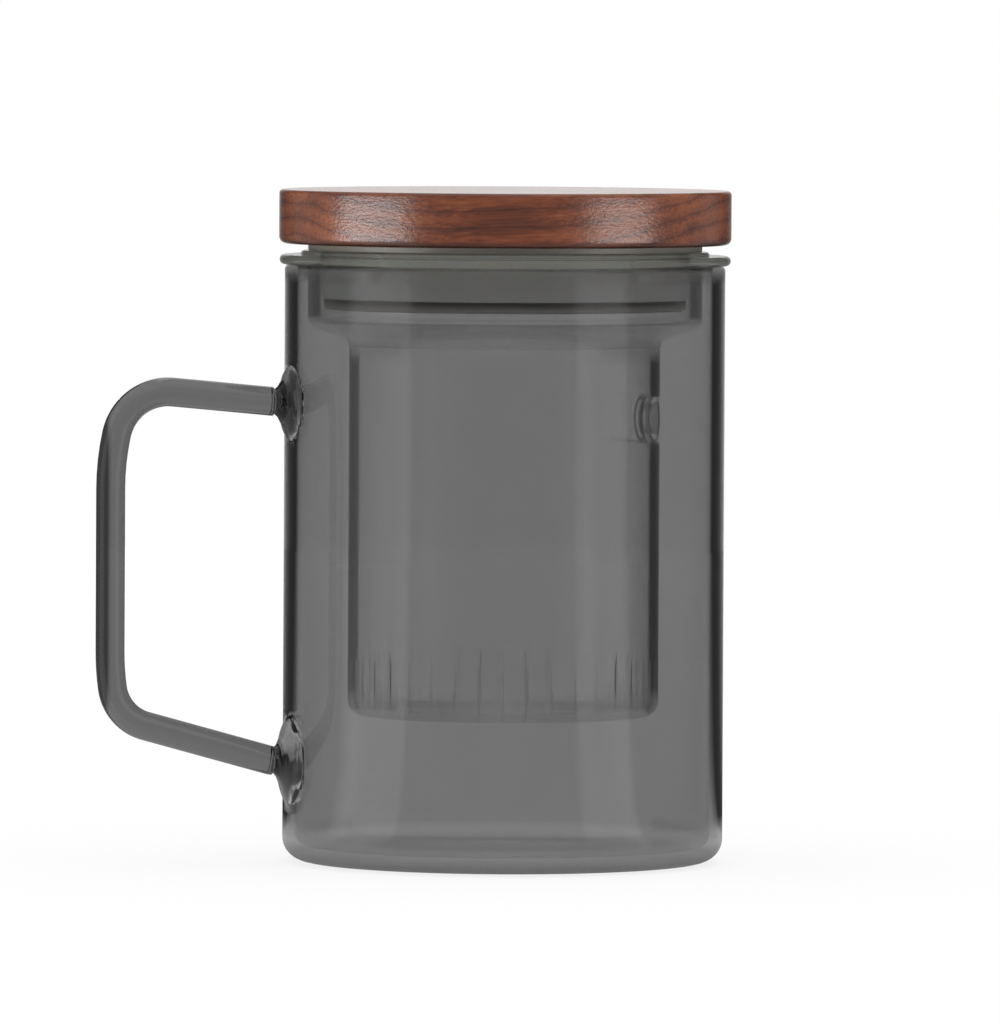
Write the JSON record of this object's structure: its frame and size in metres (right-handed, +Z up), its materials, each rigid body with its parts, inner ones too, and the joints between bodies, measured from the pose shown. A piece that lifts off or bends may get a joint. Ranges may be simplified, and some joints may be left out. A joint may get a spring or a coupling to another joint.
{
  "type": "lidded tea mug with infuser",
  "caption": "Straight-sided glass tea mug with a bent glass rod handle, a lift-out glass infuser with slits round its foot, and a flat wooden lid with a soft seal.",
  "frame": {"origin": "middle of the mug's underside, on the surface that it stands on", "axes": "+Z up along the mug's axis, the handle points along -X, and the infuser's round hole faces +X"},
  "size_m": [0.124, 0.0872, 0.1294],
  "materials": {
    "mug_glass": "clear smoke-grey glass, fire-polished",
    "infuser_glass": "clear glass with a faint grey-green tint, fire-polished",
    "lid_wood": "reddish brown hardwood, satin lacquer",
    "plug_wood": "dark brown hardwood, oiled",
    "seal_silicone": "translucent pale silicone, matt"
  },
  "bodies": {
    "mug": {"mug_body": "mug_glass", "handle_rod": "mug_glass", "upper_handle_weld": "mug_glass", "lower_handle_weld": "mug_glass"},
    "infuser_cup": {"infuser": "infuser_glass"},
    "lid": {"lid_disc": "lid_wood", "lid_plug": "plug_wood", "seal_ring": "seal_silicone"}
  },
  "joints": [
    {"name": "infuser_lift", "type": "slide", "parent": "mug", "child": "infuser_cup", "axis": [0, 0, 1], "range_m": [0, 0.1]},
    {"name": "lid_lift", "type": "slide", "parent": "infuser_cup", "child": "lid", "axis": [0, 0, 1], "range_m": [0, 0.04]}
  ]
}
